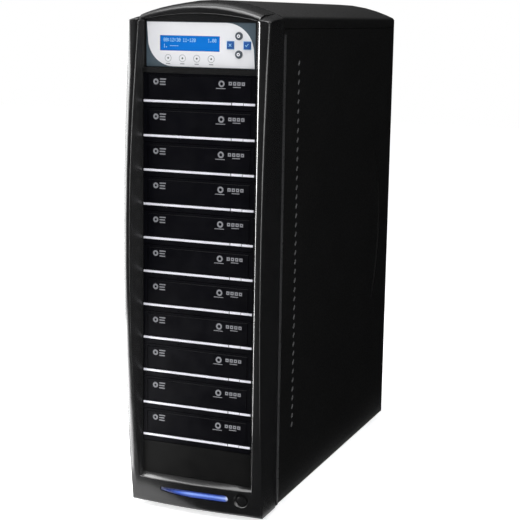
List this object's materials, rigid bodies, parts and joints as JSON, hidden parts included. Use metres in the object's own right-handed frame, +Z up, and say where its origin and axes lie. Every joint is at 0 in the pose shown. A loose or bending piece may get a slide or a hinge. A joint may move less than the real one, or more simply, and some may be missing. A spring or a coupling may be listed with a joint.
{
  "type": "disc duplicator tower",
  "caption": "Tall black disc duplicator tower: bowed, arched front frame, control panel on top, a stack of tray drives, slotted steel sides, fans and supply at the back.",
  "frame": {"origin": "middle of the bounding box's base, on the surface the feet stand on", "axes": "+Z up, the drives and the control panel face -Y, +X is the right side as one faces the drives"},
  "size_m": [0.188, 0.53, 0.6455],
  "materials": {
    "bezel_plastic": "satin charcoal",
    "case_paint": "black powder coat",
    "inner_steel": "plated sheet",
    "drive_plastic": "satin black",
    "silver_plastic": "pale silver",
    "panel_film": "pale printed film",
    "screen_blue": "blue screen",
    "key_grey": "dark grey",
    "key_blue": "blue",
    "light_blue": "clear blue",
    "board_green": "lacquered board",
    "fan_plastic": "black",
    "foot_rubber": "black"
  },
  "bodies": {
    "tower": {"front_bezel": "bezel_plastic", "light_bar": "light_blue", "control_panel_fascia": "panel_film", "lcd_module": "screen_blue", "control_board": "board_green", "blank_bay_cover": "bezel_plastic", "chassis_frame": "inner_steel", "bay_rail_left": "inner_steel", "bay_rail_right": "inner_steel", "left_side_panel": "case_paint", "right_side_panel": "case_paint", "top_cover": "case_paint", "rear_panel": "case_paint", "lower_fan_frame": "fan_plastic", "upper_fan_frame": "fan_plastic", "power_supply": "inner_steel", "foot_front_left": "foot_rubber", "foot_front_right": "foot_rubber", "foot_rear_left": "foot_rubber", "foot_rear_right": "foot_rubber", "drive_01_housing": "drive_plastic", "drive_02_housing": "drive_plastic", "drive_03_housing": "drive_plastic", "drive_04_housing": "drive_plastic", "drive_05_housing": "drive_plastic", "drive_06_housing": "drive_plastic", "drive_07_housing": "drive_plastic", "drive_08_housing": "drive_plastic", "drive_09_housing": "drive_plastic", "drive_10_housing": "drive_plastic", "drive_11_housing": "drive_plastic"},
    "power_key": {"power_button": "bezel_plastic"},
    "up_key": {"up_button": "key_grey"},
    "down_key": {"down_button": "key_grey"},
    "escape_key": {"escape_button": "key_blue"},
    "enter_key": {"enter_button": "key_blue"},
    "lower_rotor": {"lower_fan_rotor": "fan_plastic"},
    "upper_rotor": {"upper_fan_rotor": "fan_plastic"},
    "tray_01": {"drive_01_tray": "drive_plastic"},
    "eject_01": {"drive_01_eject_button": "silver_plastic"},
    "tray_02": {"drive_02_tray": "drive_plastic"},
    "eject_02": {"drive_02_eject_button": "silver_plastic"},
    "tray_03": {"drive_03_tray": "drive_plastic"},
    "eject_03": {"drive_03_eject_button": "silver_plastic"},
    "tray_04": {"drive_04_tray": "drive_plastic"},
    "eject_04": {"drive_04_eject_button": "silver_plastic"},
    "tray_05": {"drive_05_tray": "drive_plastic"},
    "eject_05": {"drive_05_eject_button": "silver_plastic"},
    "tray_06": {"drive_06_tray": "drive_plastic"},
    "eject_06": {"drive_06_eject_button": "silver_plastic"},
    "tray_07": {"drive_07_tray": "drive_plastic"},
    "eject_07": {"drive_07_eject_button": "silver_plastic"},
    "tray_08": {"drive_08_tray": "drive_plastic"},
    "eject_08": {"drive_08_eject_button": "silver_plastic"},
    "tray_09": {"drive_09_tray": "drive_plastic"},
    "eject_09": {"drive_09_eject_button": "silver_plastic"},
    "tray_10": {"drive_10_tray": "drive_plastic"},
    "eject_10": {"drive_10_eject_button": "silver_plastic"},
    "tray_11": {"drive_11_tray": "drive_plastic"},
    "eject_11": {"drive_11_eject_button": "silver_plastic"}
  },
  "joints": [
    {"name": "tray_01_slide", "type": "slide", "parent": "tower", "child": "tray_01", "axis": [0, -1, 0], "range_m": [0, 0.14]},
    {"name": "tray_02_slide", "type": "slide", "parent": "tower", "child": "tray_02", "axis": [0, -1, 0], "range_m": [0, 0.14]},
    {"name": "tray_03_slide", "type": "slide", "parent": "tower", "child": "tray_03", "axis": [0, -1, 0], "range_m": [0, 0.14]},
    {"name": "tray_04_slide", "type": "slide", "parent": "tower", "child": "tray_04", "axis": [0, -1, 0], "range_m": [0, 0.14]},
    {"name": "tray_05_slide", "type": "slide", "parent": "tower", "child": "tray_05", "axis": [0, -1, 0], "range_m": [0, 0.14]},
    {"name": "tray_06_slide", "type": "slide", "parent": "tower", "child": "tray_06", "axis": [0, -1, 0], "range_m": [0, 0.14]},
    {"name": "tray_07_slide", "type": "slide", "parent": "tower", "child": "tray_07", "axis": [0, -1, 0], "range_m": [0, 0.14]},
    {"name": "tray_08_slide", "type": "slide", "parent": "tower", "child": "tray_08", "axis": [0, -1, 0], "range_m": [0, 0.14]},
    {"name": "tray_09_slide", "type": "slide", "parent": "tower", "child": "tray_09", "axis": [0, -1, 0], "range_m": [0, 0.14]},
    {"name": "tray_10_slide", "type": "slide", "parent": "tower", "child": "tray_10", "axis": [0, -1, 0], "range_m": [0, 0.14]},
    {"name": "tray_11_slide", "type": "slide", "parent": "tower", "child": "tray_11", "axis": [0, -1, 0], "range_m": [0, 0.14]},
    {"name": "eject_01_press", "type": "slide", "parent": "tower", "child": "eject_01", "axis": [0, 1, 0], "range_m": [0, 0.001], "stiffness_N_per_m": 300, "springref_m": -0.001},
    {"name": "eject_02_press", "type": "slide", "parent": "tower", "child": "eject_02", "axis": [0, 1, 0], "range_m": [0, 0.001], "stiffness_N_per_m": 300, "springref_m": -0.001},
    {"name": "eject_03_press", "type": "slide", "parent": "tower", "child": "eject_03", "axis": [0, 1, 0], "range_m": [0, 0.001], "stiffness_N_per_m": 300, "springref_m": -0.001},
    {"name": "eject_04_press", "type": "slide", "parent": "tower", "child": "eject_04", "axis": [0, 1, 0], "range_m": [0, 0.001], "stiffness_N_per_m": 300, "springref_m": -0.001},
    {"name": "eject_05_press", "type": "slide", "parent": "tower", "child": "eject_05", "axis": [0, 1, 0], "range_m": [0, 0.001], "stiffness_N_per_m": 300, "springref_m": -0.001},
    {"name": "eject_06_press", "type": "slide", "parent": "tower", "child": "eject_06", "axis": [0, 1, 0], "range_m": [0, 0.001], "stiffness_N_per_m": 300, "springref_m": -0.001},
    {"name": "eject_07_press", "type": "slide", "parent": "tower", "child": "eject_07", "axis": [0, 1, 0], "range_m": [0, 0.001], "stiffness_N_per_m": 300, "springref_m": -0.001},
    {"name": "eject_08_press", "type": "slide", "parent": "tower", "child": "eject_08", "axis": [0, 1, 0], "range_m": [0, 0.001], "stiffness_N_per_m": 300, "springref_m": -0.001},
    {"name": "eject_09_press", "type": "slide", "parent": "tower", "child": "eject_09", "axis": [0, 1, 0], "range_m": [0, 0.001], "stiffness_N_per_m": 300, "springref_m": -0.001},
    {"name": "eject_10_press", "type": "slide", "parent": "tower", "child": "eject_10", "axis": [0, 1, 0], "range_m": [0, 0.001], "stiffness_N_per_m": 300, "springref_m": -0.001},
    {"name": "eject_11_press", "type": "slide", "parent": "tower", "child": "eject_11", "axis": [0, 1, 0], "range_m": [0, 0.001], "stiffness_N_per_m": 300, "springref_m": -0.001},
    {"name": "power_press", "type": "slide", "parent": "tower", "child": "power_key", "axis": [0, 1, 0], "range_m": [0, 0.0012], "stiffness_N_per_m": 300, "springref_m": -0.001},
    {"name": "up_press", "type": "slide", "parent": "tower", "child": "up_key", "axis": [0, 1, 0], "range_m": [0, 0.001], "stiffness_N_per_m": 300, "springref_m": -0.001},
    {"name": "down_press", "type": "slide", "parent": "tower", "child": "down_key", "axis": [0, 1, 0], "range_m": [0, 0.001], "stiffness_N_per_m": 300, "springref_m": -0.001},
    {"name": "escape_press", "type": "slide", "parent": "tower", "child": "escape_key", "axis": [0, 1, 0], "range_m": [0, 0.001], "stiffness_N_per_m": 300, "springref_m": -0.001},
    {"name": "enter_press", "type": "slide", "parent": "tower", "child": "enter_key", "axis": [0, 1, 0], "range_m": [0, 0.001], "stiffness_N_per_m": 300, "springref_m": -0.001},
    {"name": "lower_rotor_spin", "type": "hinge", "parent": "tower", "child": "lower_rotor", "pos_m": [0, 0.2507, 0.211], "axis": [0, 1, 0], "continuous": true},
    {"name": "upper_rotor_spin", "type": "hinge", "parent": "tower", "child": "upper_rotor", "pos_m": [0, 0.2507, 0.426], "axis": [0, 1, 0], "continuous": true}
  ]
}
